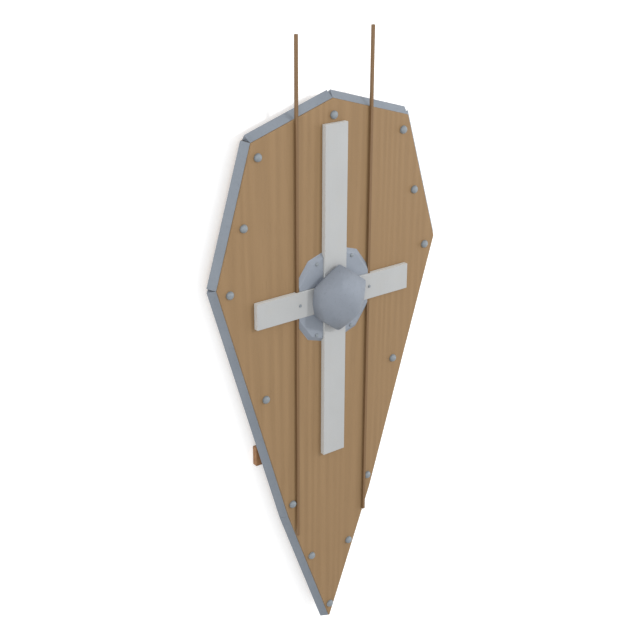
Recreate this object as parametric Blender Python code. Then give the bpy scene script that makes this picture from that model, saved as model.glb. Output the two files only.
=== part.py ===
"""A kite shield lying on its back.

A flat eight-sided wooden board carries a folded steel edging, nail heads, a painted cross, a steel boss and
two square laths on its face, and two battens on its back. Metres, +Z up: the front faces up and the point
lies at -Y.
"""

import math

import bmesh
import bpy
from mathutils import Vector

# Gap left between pieces that lie against each other
GAP = 0.0003
# Play round a piece that is let into another
FIT = 0.0005

# Corners of the board: heights are measured along the shield from its point, drops from its top
BOARD_HEIGHT = 1.200
SHOULDER_DROP = 0.059
SHOULDER_HALF_WIDTH = 0.1915
WIDEST_HEIGHT = 0.867
WIDEST_HALF_WIDTH = 0.2753
BEND_HEIGHT = 0.3064
BEND_HALF_WIDTH = 0.1115
BOARD_THICKNESS = 0.0342

# Edging: sheet steel folded along its middle, the fold standing out from the middle of the board's edge,
# each strip's ends closed
EDGING_REACH = 0.0141
EDGING_HALF_DEPTH = 0.0141
EDGING_SHEET = 0.0018

# Battens across the back, placed by their middles: the lower one's ends reach past the edging
BATTEN_HALF_LENGTH = 0.1706
BATTEN_WIDTH = 0.0436
BATTEN_THICKNESS = 0.0131
LOWER_BATTEN_HEIGHT = 0.4587
UPPER_BATTEN_DROP = 0.135

# Boss: its middle sits at this height above the shield's point
BOSS_HEIGHT = 0.7967
FLANGE_SIDES = 10
FLANGE_RADIUS = 0.1054
FLANGE_SLOPE = 0.0092
FLANGE_THICKNESS = 0.0070
DOME_HALF_HEIGHT = 0.0730
DOME_HALF_WIDTH = 0.0718
DOME_HALF_DEPTH = 0.0425
DOME_CENTRE = 0.0232
DOME_WALL = 0.0022
DOME_FACETS = 5

# Cross of four flat arms that stop at the boss
ARM_HALF_WIDTH = 0.0276
ARM_THICKNESS = 0.0110
CROSS_TOP_DROP = 0.0466
CROSS_FOOT_HEIGHT = 0.4364
CROSS_HALF_SPAN = 0.1928

# Laths: two square rods on the face, one each side of the boss, from just above the board's lower edge
# to above its top
LATH_SECTION = 0.0058
LATH_OFFSET = 0.0913
LATH_FOOT_MARGIN = 0.0051
LATH_OVERHANG = 0.130

# Nail heads round the board: the side of the outline, the share of that side and the distance in from it
NAIL_RADIUS = 0.0085
NAIL_RISE = 0.0070
NAIL_FROM_APEX = 0.0322
NAIL_FROM_POINT = 0.0353
NAIL_STATIONS = (
    ("side", 0.082, 0.0210),
    ("side", 0.557, 0.0261),
    ("flank", 0.035, 0.0227),
    ("flank", 0.478, 0.0303),
    ("flank", 0.953, 0.0169),
    ("foot", 0.409, 0.0148),
)

# Small rivets round the boss, every sixth of a turn: four on the flange and one on each level arm
BOSS_RIVETS = 6
BOSS_RIVET_MARGIN = 0.0072
FLANGE_RIVET_RADIUS = 0.0042
ARM_RIVET_RADIUS = 0.0032
BOSS_RIVET_RISE = 0.0020

# Levels above the ground, worked out from the thicknesses
BACK = BATTEN_THICKNESS + GAP
FACE = BACK + BOARD_THICKNESS
MIDDLE = BACK + BOARD_THICKNESS / 2
ON_FACE = FACE + GAP
# Heights along the shield, and sizes across the boss, that follow from others
SHOULDER_HEIGHT = BOARD_HEIGHT - SHOULDER_DROP
UPPER_BATTEN_HEIGHT = BOARD_HEIGHT - UPPER_BATTEN_DROP
CROSS_TOP_HEIGHT = BOARD_HEIGHT - CROSS_TOP_DROP
LATH_TOP = BOARD_HEIGHT + LATH_OVERHANG
FLANGE_TOP_RADIUS = FLANGE_RADIUS - FLANGE_SLOPE
BOSS_RIVET_CIRCLE = FLANGE_TOP_RADIUS - BOSS_RIVET_MARGIN


def material(name, colour, roughness, metallic=0.0):
    """A plain material with one colour."""
    made = bpy.data.materials.new(name)
    made.use_nodes = True
    shader = made.node_tree.nodes["Principled BSDF"]
    shader.inputs["Base Color"].default_value = (*colour, 1.0)
    shader.inputs["Roughness"].default_value = roughness
    shader.inputs["Metallic"].default_value = metallic
    made.diffuse_color = (*colour, 1.0)
    return made


def add(name, shape, parent, place=(0.0, 0.0, 0.0), turn=0.0, look=None, sharp_angle=None):
    """Turns a bmesh into an object at a place, turned about the upright axis."""
    bmesh.ops.recalc_face_normals(shape, faces=shape.faces)
    mesh = bpy.data.meshes.new(name)
    shape.to_mesh(mesh)
    shape.free()
    if sharp_angle is not None:
        mesh.shade_smooth()
        mesh.set_sharp_from_angle(angle=sharp_angle)
    made = bpy.data.objects.new(name, mesh)
    if look:
        mesh.materials.append(look)
    made.parent = parent
    made.location = place
    made.rotation_euler = (0.0, 0.0, turn)
    bpy.context.scene.collection.objects.link(made)
    return made


def cut(target, cutter, name, operation="DIFFERENCE"):
    """Takes a helper form from an object, or joins it on, and keeps the helper out of renders."""
    cutter.hide_render = True
    cutter.display_type = "WIRE"
    step = target.modifiers.new(name, "BOOLEAN")
    step.operation = operation
    step.object = cutter
    step.solver = "EXACT"
    return step


def prism(outline, bottom, top, top_outline=None):
    """A solid between two levels, over an outline of (x, y) points; the upper outline may differ."""
    shape = bmesh.new()
    lower = [shape.verts.new((x, y, bottom)) for x, y in outline]
    upper = [shape.verts.new((x, y, top)) for x, y in (top_outline or outline)]
    shape.faces.new(list(reversed(lower)))
    shape.faces.new(upper)
    for i in range(len(lower)):
        j = (i + 1) % len(lower)
        shape.faces.new((lower[i], lower[j], upper[j], upper[i]))
    return shape


def box(x_from, x_to, y_from, y_to, bottom, top):
    """A block between two corners."""
    return prism([(x_from, y_from), (x_to, y_from), (x_to, y_to), (x_from, y_to)], bottom, top)


def regular(sides, radius, first_angle):
    """Corners of a regular polygon."""
    angles = [first_angle + 2 * math.pi * i / sides for i in range(sides)]
    return [(radius * math.cos(a), radius * math.sin(a)) for a in angles]


def outline():
    """Corners of the board, anticlockwise from the point as seen from the front."""
    right = [
        (BEND_HALF_WIDTH, BEND_HEIGHT),
        (WIDEST_HALF_WIDTH, WIDEST_HEIGHT),
        (SHOULDER_HALF_WIDTH, SHOULDER_HEIGHT),
    ]
    left = [(-x, y) for x, y in reversed(right)]
    return [Vector(p) for p in [(0.0, 0.0), *right, (0.0, BOARD_HEIGHT), *left]]


def lower_edge(x):
    """Height of the board's lower edge at a distance from its middle."""
    point, bend, widest = outline()[:3]
    low, high = (point, bend) if x < bend.x else (bend, widest)
    return low.y + (high.y - low.y) * (x - low.x) / (high.x - low.x)


def outward(start, end):
    """Unit vector out of the board from the side that runs from start to end."""
    along = (end - start).normalized()
    return Vector((along.y, -along.x))


def folded_strip(length):
    """A strip of the edging along X: a folded sheet, open towards +Y, with both ends closed."""
    leg = EDGING_SHEET * math.hypot(EDGING_REACH, EDGING_HALF_DEPTH) / EDGING_REACH
    nose = EDGING_SHEET * math.hypot(EDGING_REACH, EDGING_HALF_DEPTH) / EDGING_HALF_DEPTH
    foot = EDGING_HALF_DEPTH * (1 - GAP / EDGING_REACH)
    outer_section = [(-GAP, foot), (-EDGING_REACH, 0.0), (-GAP, -foot)]
    inner_section = [(-GAP, foot - leg), (-EDGING_REACH + nose, 0.0), (-GAP, -foot + leg)]
    shape = bmesh.new()
    outer, inner = [], []
    for side in (-1, 1):
        end = side * length / 2
        inner_end = end - side * EDGING_SHEET
        outer.append([shape.verts.new((end, y, z)) for y, z in outer_section])
        inner.append([shape.verts.new((inner_end, y, z)) for y, z in inner_section])
    for near, far in (outer, inner):
        for i in range(2):
            shape.faces.new((near[i], near[i + 1], far[i + 1], far[i]))
        shape.faces.new(near)
        shape.faces.new(far)
    rims = [[ring[0], ring[2]] for ring in (outer[0], outer[1], inner[0], inner[1])]
    (a, b), (c, d), (e, f), (g, h) = rims
    shape.faces.new((a, c, g, e))
    shape.faces.new((b, d, h, f))
    shape.faces.new((a, e, f, b))
    shape.faces.new((c, g, h, d))
    return shape


def dome_form(inset):
    """The boss's closed outer form, or that form drawn in by a wall, about the dome's centre.

    It is a flattened twenty-sided form. One corner points up the shield and one down it, and between them
    lie two rings of corners, the lower ring turned by half a step.
    """
    half_width = DOME_HALF_WIDTH - inset
    half_height = DOME_HALF_HEIGHT - inset
    half_depth = DOME_HALF_DEPTH - inset
    ring_level = 1 / math.sqrt(5)
    ring_radius = 2 / math.sqrt(5)
    shape = bmesh.new()
    top = shape.verts.new((0.0, half_height, 0.0))
    bottom = shape.verts.new((0.0, -half_height, 0.0))
    rings = []
    for side, first in ((1, 0.5), (-1, 0.0)):
        ring = []
        for i in range(DOME_FACETS):
            turn = 2 * math.pi * (i + first) / DOME_FACETS
            x = half_width * ring_radius * math.cos(turn)
            z = -half_depth * ring_radius * math.sin(turn)
            ring.append(shape.verts.new((x, side * half_height * ring_level, z)))
        rings.append(ring)
    upper, lower = rings
    for i in range(DOME_FACETS):
        j = (i + 1) % DOME_FACETS
        shape.faces.new((top, upper[i], upper[j]))
        shape.faces.new((upper[i], lower[j], upper[j]))
        shape.faces.new((upper[i], lower[i], lower[j]))
        shape.faces.new((bottom, lower[j], lower[i]))
    return shape


def head(radius, rise):
    """A low round head with a flat underside, on the level of its origin."""
    rings, sides = 3, 16
    shape = bmesh.new()
    last = None
    for i in range(rings):
        tilt = math.pi / 2 * i / rings
        points = regular(sides, radius * math.cos(tilt), 0.0)
        ring = [shape.verts.new((x, y, rise * math.sin(tilt))) for x, y in points]
        if last:
            for j in range(sides):
                k = (j + 1) % sides
                shape.faces.new((last[j], last[k], ring[k], ring[j]))
        else:
            shape.faces.new(list(reversed(ring)))
        last = ring
    crown = shape.verts.new((0.0, 0.0, rise))
    for j in range(sides):
        shape.faces.new((last[j], last[(j + 1) % sides], crown))
    return shape


def clear_scene():
    for item in list(bpy.data.objects):
        bpy.data.objects.remove(item, do_unlink=True)


def build():
    clear_scene()
    wood = material("shield_board_wood", (0.35, 0.22, 0.12), 0.75)
    lath_wood = material("lath_wood", (0.22, 0.12, 0.06), 0.7)
    batten_wood = material("batten_wood", (0.36, 0.20, 0.11), 0.75)
    steel = material("forged_steel", (0.42, 0.45, 0.50), 0.45, 0.7)
    paint = material("off_white_paint", (0.66, 0.67, 0.66), 0.6)

    corners = outline()
    strips = list(zip(corners, corners[1:] + corners[:1]))
    lowest = min(min(a.y, b.y) + outward(a, b).y * EDGING_REACH for a, b in strips)
    shield = bpy.data.objects.new("shield", None)
    shield.location = (0.0, -(lowest + LATH_TOP) / 2, 0.0)
    bpy.context.scene.collection.objects.link(shield)

    # Board
    board_outline = [(p.x, p.y) for p in corners]
    add("board", prism(board_outline, 0.0, BOARD_THICKNESS), shield, (0, 0, BACK), look=wood)

    # Edging, one strip with square closed ends along each side of the board
    names = ["foot_right", "flank_right", "side_right", "top_right"]
    names += ["top_left", "side_left", "flank_left", "foot_left"]
    for name, (start, end) in zip(names, strips):
        middle = (start + end) / 2
        along = end - start
        place = (middle.x, middle.y, MIDDLE)
        turn = math.atan2(along.y, along.x)
        add("edging_" + name, folded_strip(along.length), shield, place, turn, steel)

    # Battens on the back
    wide, deep = BATTEN_HALF_LENGTH, BATTEN_WIDTH / 2
    for name, height in (("upper", UPPER_BATTEN_HEIGHT), ("lower", LOWER_BATTEN_HEIGHT)):
        block = box(-wide, wide, -deep, deep, 0.0, BATTEN_THICKNESS)
        add("batten_" + name, block, shield, (0, height, 0), look=batten_wood)

    # Laths on the face
    half = LATH_SECTION / 2
    foot = lower_edge(LATH_OFFSET) + LATH_FOOT_MARGIN
    for name, side in (("left", -1), ("right", 1)):
        rod = box(-half, half, 0.0, LATH_TOP - foot, 0.0, LATH_SECTION)
        add("lath_" + name, rod, shield, (side * LATH_OFFSET, foot, ON_FACE), look=lath_wood)

    # Cross: four arms, each with its inner end cut to the dome's outline
    seat = (0, BOSS_HEIGHT, ON_FACE)
    above = (0, BOSS_HEIGHT, FACE + DOME_CENTRE)
    around = add("dome_clearance", dome_form(-FIT), shield, above)
    thick = ARM_THICKNESS - GAP
    wide = ARM_HALF_WIDTH
    inner = ARM_HALF_WIDTH + FIT
    arms = {
        "upper": (-wide, wide, inner, CROSS_TOP_HEIGHT - BOSS_HEIGHT),
        "lower": (-wide, wide, CROSS_FOOT_HEIGHT - BOSS_HEIGHT, -inner),
        "right": (inner, CROSS_HALF_SPAN, -wide, wide),
        "left": (-CROSS_HALF_SPAN, -inner, -wide, wide),
    }
    for name, sides in arms.items():
        arm = add("cross_arm_" + name, box(*sides, 0.0, thick), shield, seat, look=paint)
        cut(arm, around, "end round the dome")
        if name in ("left", "right"):
            lath_at = LATH_OFFSET if name == "right" else -LATH_OFFSET
            run = (lath_at - half - FIT, lath_at + half + FIT, -2 * wide, 2 * wide)
            groove = box(*run, -LATH_SECTION, LATH_SECTION + FIT)
            cut(arm, add("lath_channel_" + name, groove, shield, seat), "lath channel")

    # Boss: a sloped flange, open where the arms pass and straight along the laths, round a hollow dome
    first = math.pi / FLANGE_SIDES
    plate = prism(
        regular(FLANGE_SIDES, FLANGE_RADIUS, first),
        0.0,
        FLANGE_THICKNESS - GAP,
        regular(FLANGE_SIDES, FLANGE_TOP_RADIUS, first),
    )
    boss = add("boss", plate, shield, seat, look=steel, sharp_angle=math.radians(50))
    slot = ARM_HALF_WIDTH + FIT
    far = 2 * FLANGE_RADIUS
    openings = {
        "slot_along": (-slot, slot, -far, far),
        "slot_across": (-far, far, -slot, slot),
        "lath_side_right": (LATH_OFFSET - half - FIT, far, -far, far),
        "lath_side_left": (-far, -LATH_OFFSET + half + FIT, -far, far),
    }
    for name, sides in openings.items():
        block = box(*sides, -FLANGE_THICKNESS, 2 * FLANGE_THICKNESS)
        cut(boss, add("boss_" + name, block, shield, seat), name)
    solid = dome_form(0.0)
    cut_faces = bmesh.ops.bisect_plane(
        solid,
        geom=solid.verts[:] + solid.edges[:] + solid.faces[:],
        plane_co=(0, 0, GAP - DOME_CENTRE),
        plane_no=(0, 0, -1),
        clear_outer=True,
    )
    rim = [item for item in cut_faces["geom_cut"] if isinstance(item, bmesh.types.BMEdge)]
    bmesh.ops.holes_fill(solid, edges=rim)
    cut(boss, add("dome_outer_form", solid, shield, above), "dome", "UNION")
    cut(boss, add("dome_inner_form", dome_form(DOME_WALL), shield, above), "hollow")

    # Rivets round the boss
    for i in range(BOSS_RIVETS):
        angle = 2 * math.pi * i / BOSS_RIVETS
        x, y = BOSS_RIVET_CIRCLE * math.cos(angle), BOSS_RIVET_CIRCLE * math.sin(angle)
        on_arm = abs(y) < ARM_HALF_WIDTH
        level = FACE + (ARM_THICKNESS if on_arm else FLANGE_THICKNESS) + GAP
        radius = ARM_RIVET_RADIUS if on_arm else FLANGE_RIVET_RADIUS
        place = (x, BOSS_HEIGHT + y, level)
        shape = head(radius, BOSS_RIVET_RISE)
        add(f"boss_rivet_{i + 1}", shape, shield, place, look=steel, sharp_angle=math.radians(60))

    # Nail heads round the board
    sides = {"side": strips[2], "flank": strips[1], "foot": strips[0]}
    places = {"nail_apex": (0.0, BOARD_HEIGHT - NAIL_FROM_APEX), "nail_point": (0.0, NAIL_FROM_POINT)}
    for i, (side, share, inset) in enumerate(NAIL_STATIONS):
        low, high = sides[side]
        spot = high.lerp(low, share) - outward(low, high) * inset
        places[f"nail_right_{i + 1}"] = (spot.x, spot.y)
        places[f"nail_left_{i + 1}"] = (-spot.x, spot.y)
    for name, (x, y) in places.items():
        shape = head(NAIL_RADIUS, NAIL_RISE)
        add(name, shape, shield, (x, y, ON_FACE), look=steel, sharp_angle=math.radians(60))


build()
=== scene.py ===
"""Looks of the kite shield: finished pieces and materials, floor, light and camera."""

import math

import bmesh
import bpy
from mathutils import Matrix, Vector


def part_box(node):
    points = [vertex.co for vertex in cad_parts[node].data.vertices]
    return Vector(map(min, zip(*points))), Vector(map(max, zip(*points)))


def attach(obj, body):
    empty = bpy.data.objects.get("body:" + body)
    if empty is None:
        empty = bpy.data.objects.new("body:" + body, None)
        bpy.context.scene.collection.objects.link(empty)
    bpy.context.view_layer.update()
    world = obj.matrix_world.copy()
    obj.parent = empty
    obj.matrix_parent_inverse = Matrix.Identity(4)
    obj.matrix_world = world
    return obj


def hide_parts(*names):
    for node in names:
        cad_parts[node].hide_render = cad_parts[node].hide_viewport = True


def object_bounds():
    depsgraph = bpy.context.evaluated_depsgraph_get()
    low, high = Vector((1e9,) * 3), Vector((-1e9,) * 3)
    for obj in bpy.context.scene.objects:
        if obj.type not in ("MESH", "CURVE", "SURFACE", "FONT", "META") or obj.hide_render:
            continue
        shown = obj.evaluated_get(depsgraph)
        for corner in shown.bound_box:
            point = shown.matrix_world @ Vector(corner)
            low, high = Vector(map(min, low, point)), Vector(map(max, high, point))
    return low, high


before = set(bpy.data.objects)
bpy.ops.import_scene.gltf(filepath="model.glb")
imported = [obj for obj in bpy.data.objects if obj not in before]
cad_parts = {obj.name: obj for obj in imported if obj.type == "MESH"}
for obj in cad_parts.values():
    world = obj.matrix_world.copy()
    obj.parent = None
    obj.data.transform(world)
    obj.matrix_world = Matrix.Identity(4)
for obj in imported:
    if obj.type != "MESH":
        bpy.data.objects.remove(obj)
cad_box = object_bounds()

# Levels and sizes of the shield as built, in metres
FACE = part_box("board")[1].z
BOSS_Y = (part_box("boss")[0].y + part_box("boss")[1].y) / 2
DOME_RADII = Vector((0.0718, 0.0730, 0.0425))
DOME_MIDDLE = Vector((0.0, BOSS_Y, FACE + 0.0232))
# The dome's facets all touch one oval: this share of the oval through its corners
FACET_REACH = 0.79465
FACET_TOLERANCE = 0.0004
# Just above the flange's flat top: below it the steel is painted a little brighter, painted light that
# lifts the flange out of the dome's shade
PAINTED_LIGHT_LEVEL = FACE + 0.0072
# The finished dome stays this far below the top of the solids' box
CROWN_MARGIN = 1e-5

scene = bpy.context.scene
scene.view_settings.view_transform = "Standard"


class Nodes:
    """Short calls for building one material's node tree."""

    def __init__(self, name):
        self.material = bpy.data.materials.new(name)
        self.material.use_nodes = True
        self.tree = self.material.node_tree
        self.shader = self.tree.nodes["Principled BSDF"]
        coordinates = self.tree.nodes.new("ShaderNodeTexCoord")
        self.place = coordinates.outputs["Object"]

    def set(self, target, value):
        if isinstance(value, bpy.types.NodeSocket):
            self.tree.links.new(value, target)
        else:
            target.default_value = value

    def stretched(self, scale, turn=0.0):
        """The surface's coordinates, scaled along each axis."""
        node = self.tree.nodes.new("ShaderNodeMapping")
        self.set(node.inputs["Vector"], self.place)
        node.inputs["Scale"].default_value = scale
        node.inputs["Rotation"].default_value = (0.0, 0.0, turn)
        return node.outputs["Vector"]

    def noise(self, vector, scale, detail, roughness, distortion=0.0):
        node = self.tree.nodes.new("ShaderNodeTexNoise")
        self.set(node.inputs["Vector"], vector)
        node.inputs["Scale"].default_value = scale
        node.inputs["Detail"].default_value = detail
        node.inputs["Roughness"].default_value = roughness
        node.inputs["Distortion"].default_value = distortion
        return node.outputs["Fac"]

    def cells(self, vector, scale):
        """Distance to the nearest of many scattered points, smoothed where two are as near."""
        node = self.tree.nodes.new("ShaderNodeTexVoronoi")
        node.feature = "SMOOTH_F1"
        self.set(node.inputs["Vector"], vector)
        node.inputs["Scale"].default_value = scale
        node.inputs["Smoothness"].default_value = 0.8
        return node.outputs["Distance"]

    def waves(self, vector, scale, distortion, detail, detail_scale):
        node = self.tree.nodes.new("ShaderNodeTexWave")
        node.bands_direction = "X"
        self.set(node.inputs["Vector"], vector)
        node.inputs["Scale"].default_value = scale
        node.inputs["Distortion"].default_value = distortion
        node.inputs["Detail"].default_value = detail
        node.inputs["Detail Scale"].default_value = detail_scale
        return node.outputs["Fac"]

    def remap(self, value, low, high, to_low=0.0, to_high=1.0):
        node = self.tree.nodes.new("ShaderNodeMapRange")
        self.set(node.inputs["Value"], value)
        node.inputs["From Min"].default_value = low
        node.inputs["From Max"].default_value = high
        node.inputs["To Min"].default_value = to_low
        node.inputs["To Max"].default_value = to_high
        return node.outputs["Result"]

    def math(self, operation, a, b=0.0):
        node = self.tree.nodes.new("ShaderNodeMath")
        node.operation = operation
        self.set(node.inputs[0], a)
        self.set(node.inputs[1], b)
        return node.outputs[0]

    def mix(self, factor, a, b):
        node = self.tree.nodes.new("ShaderNodeMix")
        node.data_type = "RGBA"
        self.set(node.inputs["Factor"], factor)
        self.set(node.inputs["A"], (*a, 1.0) if isinstance(a, tuple) else a)
        self.set(node.inputs["B"], (*b, 1.0) if isinstance(b, tuple) else b)
        return node.outputs["Result"]

    def edges(self, radius):
        """One at worn outer edges, falling to nothing on flat faces."""
        bevel = self.tree.nodes.new("ShaderNodeBevel")
        bevel.samples = 6
        bevel.inputs["Radius"].default_value = radius
        geometry = self.tree.nodes.new("ShaderNodeNewGeometry")
        node = self.tree.nodes.new("ShaderNodeVectorMath")
        node.operation = "DOT_PRODUCT"
        self.set(node.inputs[0], bevel.outputs["Normal"])
        self.set(node.inputs[1], geometry.outputs["Normal"])
        return self.remap(self.math("SUBTRACT", 1.0, node.outputs["Value"]), 0.02, 0.25)

    def bump(self, height, distance, strength, under=None):
        node = self.tree.nodes.new("ShaderNodeBump")
        node.inputs["Strength"].default_value = strength
        node.inputs["Distance"].default_value = distance
        self.set(node.inputs["Height"], height)
        if under is not None:
            self.set(node.inputs["Normal"], under)
        return node.outputs["Normal"]

    def finish(self, colour, roughness, normal, specular, metallic=0.0):
        self.set(self.shader.inputs["Base Color"], colour)
        self.set(self.shader.inputs["Roughness"], roughness)
        self.set(self.shader.inputs["Metallic"], metallic)
        self.shader.inputs["Specular IOR Level"].default_value = specular
        self.set(self.shader.inputs["Normal"], normal)
        return self.material


def wood(name, pale, middle, dark, along="Y", ring_scale=14.0, wear=0.35):
    """Planed timber with its grain along one axis: growth rings, fine fibres, pores and rubbed edges."""
    n = Nodes(name)
    long_way = {"X": (0.045, 1.0, 1.0), "Y": (1.0, 0.045, 1.0)}[along]
    fine_way = {"X": (0.02, 1.0, 1.0), "Y": (1.0, 0.02, 1.0)}[along]
    drift = n.noise(n.stretched(long_way), 5.0, 2.0, 0.5)
    base = n.stretched(long_way, 0.0 if along == "Y" else math.pi / 2)
    wander = n.tree.nodes.new("ShaderNodeVectorMath")
    wander.operation = "ADD"
    n.set(wander.inputs[0], base)
    n.set(wander.inputs[1], n.math("MULTIPLY", drift, 0.22))
    rings = n.waves(wander.outputs["Vector"], ring_scale, distortion=3.5, detail=3.0, detail_scale=1.6)
    fibres = n.noise(n.stretched(fine_way), 420.0, 4.0, 0.62)
    streaks = n.noise(n.stretched(long_way), 60.0, 4.0, 0.6, 0.4)
    pores = n.remap(n.noise(n.stretched(fine_way), 900.0, 2.0, 0.6), 0.62, 0.74)
    broad = n.noise(n.place, 4.5, 3.0, 0.55)
    tone = n.remap(rings, 0.15, 0.95, 0.25, 0.75)
    tone = n.math("ADD", n.math("MULTIPLY", tone, 0.45), n.math("MULTIPLY", streaks, 0.55))
    colour = n.mix(n.remap(tone, 0.30, 0.72), dark, pale)
    colour = n.mix(n.remap(broad, 0.35, 0.65, 0.25, 0.75), colour, middle)
    colour = n.mix(n.math("MULTIPLY", n.remap(fibres, 0.35, 0.7), 0.22), colour, pale)
    colour = n.mix(n.math("MULTIPLY", pores, 0.35), colour, dark)
    patches = n.remap(n.noise(n.place, 60.0, 4.0, 0.6), 0.35, 0.65, 0.2, 1.0)
    rubbed = n.math("MULTIPLY", n.edges(0.003), patches)
    colour = n.mix(n.math("MULTIPLY", rubbed, wear), colour, tuple(min(1.0, c * 1.5) for c in pale))
    dullness = n.math("ADD", n.math("MULTIPLY", fibres, 0.6), n.math("MULTIPLY", broad, 0.4))
    rough = n.remap(dullness, 0.3, 0.7, 0.50, 0.72)
    height = n.math("ADD", n.math("MULTIPLY", fibres, 0.5), n.math("MULTIPLY", rings, 0.6))
    height = n.math("SUBTRACT", height, pores)
    normal = n.bump(height, 0.00035, 0.55)
    normal = n.bump(n.noise(n.place, 22.0, 2.0, 0.5), 0.0015, 0.35, normal)
    return n.finish(colour, rough, normal, specular=0.35)


def steel(name, colour_low, colour_high, dents, dent_depth=0.0006, painted_light_below=None):
    """Forged blue-grey steel: hammer marks, cloudy tone, fine scratches and brighter rubbed edges.

    Where a level is given, the steel below it is painted a little brighter: painted light on the low
    flange, in the dome's shade.
    """
    n = Nodes(name)
    cloud = n.noise(n.place, 13.0, 5.0, 0.6, 0.5)
    speck = n.noise(n.place, 190.0, 4.0, 0.65)
    scratch = n.noise(n.stretched((1.0, 0.06, 1.0), 0.6), 420.0, 3.0, 0.6)
    colour = n.mix(n.remap(cloud, 0.32, 0.68), colour_low, colour_high)
    specks = n.math("MULTIPLY", n.remap(speck, 0.55, 0.72), 0.25)
    colour = n.mix(specks, colour, tuple(c * 0.62 for c in colour_low))
    if painted_light_below is not None:
        # Painted light: below the level the colour is lifted towards a brighter steel, against the
        # dome's shade on the flange.
        level = n.tree.nodes.new("ShaderNodeSeparateXYZ")
        n.set(level.inputs[0], n.place)
        low = n.remap(level.outputs["Z"], painted_light_below, painted_light_below + 0.0015, 1.0, 0.0)
        colour = n.mix(n.math("MULTIPLY", low, 0.5), colour, tuple(c * 1.25 for c in colour_high))
    patches = n.remap(n.noise(n.place, 90.0, 3.0, 0.6), 0.35, 0.6, 0.3, 1.0)
    rubbed = n.math("MULTIPLY", n.edges(0.0022), patches)
    bright = tuple(min(1.0, c * 1.45) for c in colour_high)
    colour = n.mix(n.math("MULTIPLY", rubbed, 0.55), colour, bright)
    rough = n.math("ADD", n.remap(cloud, 0.3, 0.7, 0.50, 0.64), n.math("MULTIPLY", scratch, 0.10))
    blows = n.cells(n.place, dents)
    normal = n.bump(blows, dent_depth, 0.8)
    normal = n.bump(scratch, 0.0001, 0.35, normal)
    normal = n.bump(speck, 0.00012, 0.4, normal)
    return n.finish(colour, rough, normal, specular=0.3, metallic=0.3)


def painted(name, paint, under, painted_side_light):
    """Off-white paint brushed on wood, rubbed through at the edges, with painted light that makes the
    upright sides paler.
    """
    n = Nodes(name)
    brushed = n.noise(n.stretched((1.0, 0.03, 1.0)), 300.0, 3.0, 0.6)
    broad = n.noise(n.place, 9.0, 3.0, 0.5)
    grime = n.noise(n.place, 38.0, 5.0, 0.62)
    colour = n.mix(n.remap(broad, 0.3, 0.7), paint, tuple(c * 0.93 for c in paint))
    colour = n.mix(n.math("MULTIPLY", n.remap(grime, 0.5, 0.75), 0.14), colour, (0.42, 0.38, 0.32))
    streaks = n.math("MULTIPLY", n.remap(brushed, 0.55, 0.75), 0.10)
    colour = n.mix(streaks, colour, tuple(c * 0.8 for c in paint))
    # Painted light: faces that stand upright are mixed towards a paler colour, standing in for light on
    # the arms' sides.
    geometry = n.tree.nodes.new("ShaderNodeNewGeometry")
    facing = n.tree.nodes.new("ShaderNodeSeparateXYZ")
    n.set(facing.inputs[0], geometry.outputs["Normal"])
    side_light_share = n.remap(n.math("ABSOLUTE", facing.outputs["Z"]), 0.25, 0.75, 1.0, 0.0)
    colour = n.mix(side_light_share, colour, painted_side_light)
    chips = n.remap(n.noise(n.place, 130.0, 5.0, 0.7), 0.52, 0.58)
    worn = n.math("MULTIPLY", n.edges(0.0022), chips)
    colour = n.mix(n.math("MULTIPLY", worn, 0.7), colour, under)
    rough = n.remap(brushed, 0.3, 0.7, 0.46, 0.62)
    normal = n.bump(brushed, 0.00022, 0.45)
    normal = n.bump(grime, 0.0004, 0.25, normal)
    return n.finish(colour, rough, normal, specular=0.4)


board_wood = wood(
    "board_wood",
    pale=(0.282, 0.178, 0.086),
    middle=(0.254, 0.159, 0.077),
    dark=(0.214, 0.131, 0.060),
)
lath_wood = wood(
    "lath_wood",
    pale=(0.196, 0.114, 0.052),
    middle=(0.176, 0.101, 0.046),
    dark=(0.140, 0.078, 0.034),
    ring_scale=60.0,
    wear=0.05,
)
batten_wood = wood(
    "batten_wood",
    pale=(0.335, 0.175, 0.078),
    middle=(0.300, 0.150, 0.066),
    dark=(0.225, 0.106, 0.045),
    along="X",
    ring_scale=30.0,
)
edging_steel = steel("edging_steel", (0.205, 0.232, 0.268), (0.235, 0.263, 0.300), dents=42.0)
boss_steel = steel(
    "boss_steel",
    (0.205, 0.230, 0.268),
    (0.238, 0.263, 0.304),
    dents=70.0,
    dent_depth=0.0008,
    # Painted light on the flange, below this level
    painted_light_below=PAINTED_LIGHT_LEVEL,
)
nail_steel = steel(
    "nail_steel",
    (0.215, 0.240, 0.262),
    (0.252, 0.280, 0.302),
    dents=260.0,
    dent_depth=0.0004,
)
cross_paint = painted(
    "cross_paint",
    paint=(0.392, 0.400, 0.402),
    under=(0.27, 0.17, 0.10),
    # Painted light: the paler colour painted on the arms' upright sides
    painted_side_light=(0.62, 0.63, 0.62),
)


def put(piece, material, slot, *nodes):
    """Finishes a new piece: one material, riding on the shield, in place of its solid."""
    piece.data.materials.clear()
    piece.data.materials.append(material)
    scene.collection.objects.link(piece)
    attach(piece, "root")
    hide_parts(*nodes)


def cleaned(node):
    """A working copy of a solid's mesh, its corners joined and its flat faces whole."""
    shape = bmesh.new()
    shape.from_mesh(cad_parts[node].data)
    bmesh.ops.remove_doubles(shape, verts=shape.verts, dist=1e-6)
    bmesh.ops.dissolve_limit(shape, angle_limit=math.radians(0.5), verts=shape.verts, edges=shape.edges)
    return shape


def to_object(name, shape, smooth_angle=math.radians(40)):
    mesh = bpy.data.meshes.new(name)
    shape.to_mesh(mesh)
    shape.free()
    mesh.shade_smooth()
    mesh.set_sharp_from_angle(angle=smooth_angle)
    return bpy.data.objects.new(name, mesh)


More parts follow.
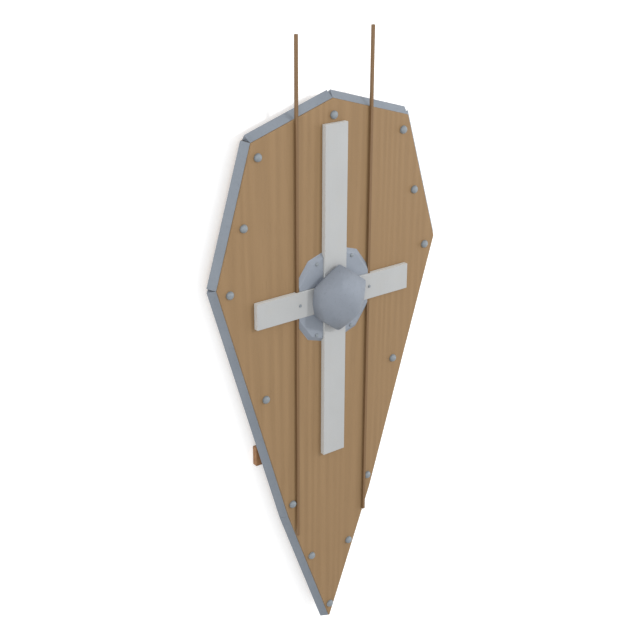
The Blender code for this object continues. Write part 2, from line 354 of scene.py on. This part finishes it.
def dressed(node, suffix, material, slot, width, segments=3):
    """A finished copy of a solid, its hard edges rounded a little."""
    piece = to_object(f"{node}_{suffix}", cleaned(node))
    step = piece.modifiers.new("rounded edges", "BEVEL")
    step.width = width
    step.segments = segments
    step.limit_method = "ANGLE"
    step.angle_limit = math.radians(30)
    step.harden_normals = True
    put(piece, material, slot, node)


dressed("board", "timber", board_wood, "board_wood", 0.0012)
for name in ("lath_left", "lath_right"):
    dressed(name, "rod", lath_wood, "lath_wood", 0.0004)
for name in ("batten_upper", "batten_lower"):
    dressed(name, "timber", batten_wood, "batten_wood", 0.0015)
for name in ("upper", "lower", "left", "right"):
    dressed("cross_arm_" + name, "painted", cross_paint, "cross_paint", 0.0007)
for place in ("top", "side", "flank", "foot"):
    for side in ("left", "right"):
        dressed(f"edging_{place}_{side}", "steel", edging_steel, "forged_steel", 0.0005, 2)


def nail_head(node, lip, sides):
    """A hand-forged round head: a low dome that is full at its crown, over a short lip."""
    steps = 8
    fullness = 0.92
    unevenness = 0.015
    low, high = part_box(node)
    centre = (low + high) / 2
    radius = (high.x - low.x) / 2
    rise = high.z - low.z
    profile = [(1.0, 0.0), (1.0, lip)]
    for i in range(1, steps):
        tilt = math.pi / 2 * i / steps
        profile.append((math.cos(tilt) ** fullness, lip + (1 - lip) * math.sin(tilt)))
    shape = bmesh.new()
    rings = []
    for share, level in profile:
        ring = []
        for j in range(sides):
            turn = 2 * math.pi * j / sides
            wave = 1.0 - unevenness * (1 + math.cos(3 * turn + centre.y * 40)) * share
            x = centre.x + radius * share * wave * math.cos(turn)
            y = centre.y + radius * share * wave * math.sin(turn)
            ring.append(shape.verts.new((x, y, low.z + rise * level)))
        rings.append(ring)
    crown = shape.verts.new((centre.x, centre.y, high.z))
    shape.faces.new(list(reversed(rings[0])))
    for lower, upper in zip(rings, rings[1:]):
        for j in range(sides):
            k = (j + 1) % sides
            shape.faces.new((lower[j], lower[k], upper[k], upper[j]))
    for j in range(sides):
        shape.faces.new((rings[-1][j], rings[-1][(j + 1) % sides], crown))
    bmesh.ops.recalc_face_normals(shape, faces=shape.faces)
    piece = to_object(node + "_forged", shape, math.radians(55))
    put(piece, nail_steel, "forged_steel", node)


for node in sorted(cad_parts):
    if node.startswith("nail_"):
        nail_head(node, lip=0.12, sides=28)
    elif node.startswith("boss_rivet_"):
        nail_head(node, lip=0.2, sides=20)


def is_dome_face(face):
    """True for the facets of the dome's outer form, which all touch one oval inside it."""
    n = face.normal
    reach = math.sqrt(sum((DOME_RADII[i] * n[i]) ** 2 for i in range(3)))
    distance = n.dot(face.calc_center_median() - DOME_MIDDLE)
    return abs(distance - FACET_REACH * reach) < FACET_TOLERANCE


def on_oval(point):
    """The place on the round form through the dome's corners that lies in this point's direction."""
    d = point - DOME_MIDDLE
    size = math.sqrt(sum((d[i] / DOME_RADII[i]) ** 2 for i in range(3)))
    return DOME_MIDDLE + d / size


def flat_normals(shape, rounded):
    """A normal for each corner of each face, so that the flat faces stay flat between rounded edges."""
    rounded = set(rounded)
    normals = {}
    for face in shape.faces:
        for loop in face.loops:
            normal = face.normal
            if face in rounded:
                flats = [f for f in loop.vert.link_faces if f not in rounded]
                if flats:
                    normal = max(flats, key=lambda f: f.calc_area()).normal
            normals[face.index, loop.vert.index] = normal.copy()
    return normals


def boss_piece():
    """The boss: its flange from the solid, and its dome with crowned facets and soft ridges."""
    rim_width = 0.0006
    facet_cuts = 9
    # How far the facets bulge towards the oval, and how much of their shading is that of an oval
    crown = 0.07
    roundness = 0.85
    # The shading's oval has its middle lower by this and is as much taller
    lift = 0.018
    shape = cleaned("boss")
    mark = shape.faces.layers.int.new("rounded")
    rims = []
    for edge in shape.edges:
        if len(edge.link_faces) == 2 and edge.is_convex and edge.calc_face_angle(0.0) > math.radians(10):
            high = min(v.co.z for v in edge.verts) > FACE + 0.001
            if high and not any(is_dome_face(f) for f in edge.link_faces):
                rims.append(edge)
    rounded = bmesh.ops.bevel(
        shape, geom=rims, offset=rim_width, segments=2, affect="EDGES", profile=0.5, clamp_overlap=True
    )["faces"]
    for face in rounded:
        face[mark] = 1
    dome = [f for f in shape.faces if is_dome_face(f)]
    parts = set(bmesh.ops.triangulate(shape, faces=dome)["faces"])
    edges = [e for e in shape.edges if any(f in parts for f in e.link_faces)]
    bmesh.ops.subdivide_edges(shape, edges=edges, cuts=facet_cuts, use_grid_fill=True)
    shape.normal_update()
    dome = {f for f in shape.faces if is_dome_face(f)}
    inside = [v for v in shape.verts if v.link_faces and all(f in dome for f in v.link_faces)]
    for v in inside:
        v.co = v.co.lerp(on_oval(v.co), crown)
    axes = {"use_axis_x": True, "use_axis_y": True, "use_axis_z": True}
    bmesh.ops.smooth_vert(shape, verts=inside, factor=0.5, **axes)
    for v in inside:
        v.co.z = min(v.co.z, cad_box[1].z - CROWN_MARGIN)
    shape.normal_update()
    shape.verts.index_update()
    shape.faces.index_update()
    normals = flat_normals(shape, [f for f in shape.faces if f[mark] == 1])
    heart = DOME_MIDDLE - Vector((0.0, 0.0, lift))
    radii = DOME_RADII + Vector((0.0, 0.0, lift))
    for face in dome:
        for loop in face.loops:
            d = loop.vert.co - heart
            oval = Vector([d[i] / radii[i] ** 2 for i in range(3)]).normalized()
            normals[face.index, loop.vert.index] = face.normal.lerp(oval, roundness).normalized()
    piece = to_object("boss_forged", shape, math.radians(60))
    mesh = piece.data
    corners = [(0.0, 0.0, 0.0)] * len(mesh.loops)
    for polygon in mesh.polygons:
        for i in polygon.loop_indices:
            corners[i] = normals[polygon.index, mesh.loops[i].vertex_index]
    mesh.normals_split_custom_set(corners)
    put(piece, boss_steel, "forged_steel", "boss")


boss_piece()

# Floor
floor_mesh = bpy.data.meshes.new("floor")
floor_mesh.from_pydata([(-14, -14, 0), (14, -14, 0), (14, 14, 0), (-14, 14, 0)], [], [(0, 1, 2, 3)])
floor = bpy.data.objects.new("floor", floor_mesh)
floor.location = (0, 0, -0.0005)
scene.collection.objects.link(floor)
white = Nodes("floor_white")
white.shader.inputs["Base Color"].default_value = (0.93, 0.93, 0.93, 1.0)
white.shader.inputs["Roughness"].default_value = 0.9
white.shader.inputs["Specular IOR Level"].default_value = 0.1
white.shader.inputs["Emission Color"].default_value = (1.0, 1.0, 1.0, 1.0)
white.shader.inputs["Emission Strength"].default_value = 0.27
floor_mesh.materials.append(white.material)


def soft_light(name, place, size, power):
    """A square light that faces the middle of the ground under the shield."""
    light = bpy.data.lights.new(name, "AREA")
    light.shape = "SQUARE"
    light.size = size
    light.energy = power
    lamp = bpy.data.objects.new(name, light)
    lamp.location = place
    lamp.rotation_mode = "QUATERNION"
    lamp.rotation_quaternion = (-Vector(place)).to_track_quat("-Z", "Y")
    scene.collection.objects.link(lamp)


# Light from the shield's upper right, two soft fills, and an even white surround
soft_light("key", (1.94, 1.97, 3.56), size=0.4, power=60)
soft_light("front_fill", (-2.4, 1.7, 3.1), size=2.0, power=54)
soft_light("right_fill", (3.4, 0.2, 1.4), size=2.4, power=42)
world = bpy.data.worlds.new("surround")
world.use_nodes = True
world.node_tree.nodes["Background"].inputs["Color"].default_value = (1.0, 1.0, 1.0, 1.0)
world.node_tree.nodes["Background"].inputs["Strength"].default_value = 0.76
scene.world = world

# Camera, at the photograph's angle to the shield's face
camera_data = bpy.data.cameras.new("camera")
camera_data.angle = math.radians(30)
camera = bpy.data.objects.new("camera", camera_data)
right = Vector((0.79535, 0.00403, 0.60613))
up = Vector((0.23515, 0.91961, -0.31468))
back = right.cross(up)
camera.matrix_world = Matrix.Translation((-1.3928, 1.0426, 1.8283)) @ Matrix(
    ((right.x, up.x, back.x), (right.y, up.y, back.y), (right.z, up.z, back.z))
).to_4x4()
scene.collection.objects.link(camera)
scene.camera = camera
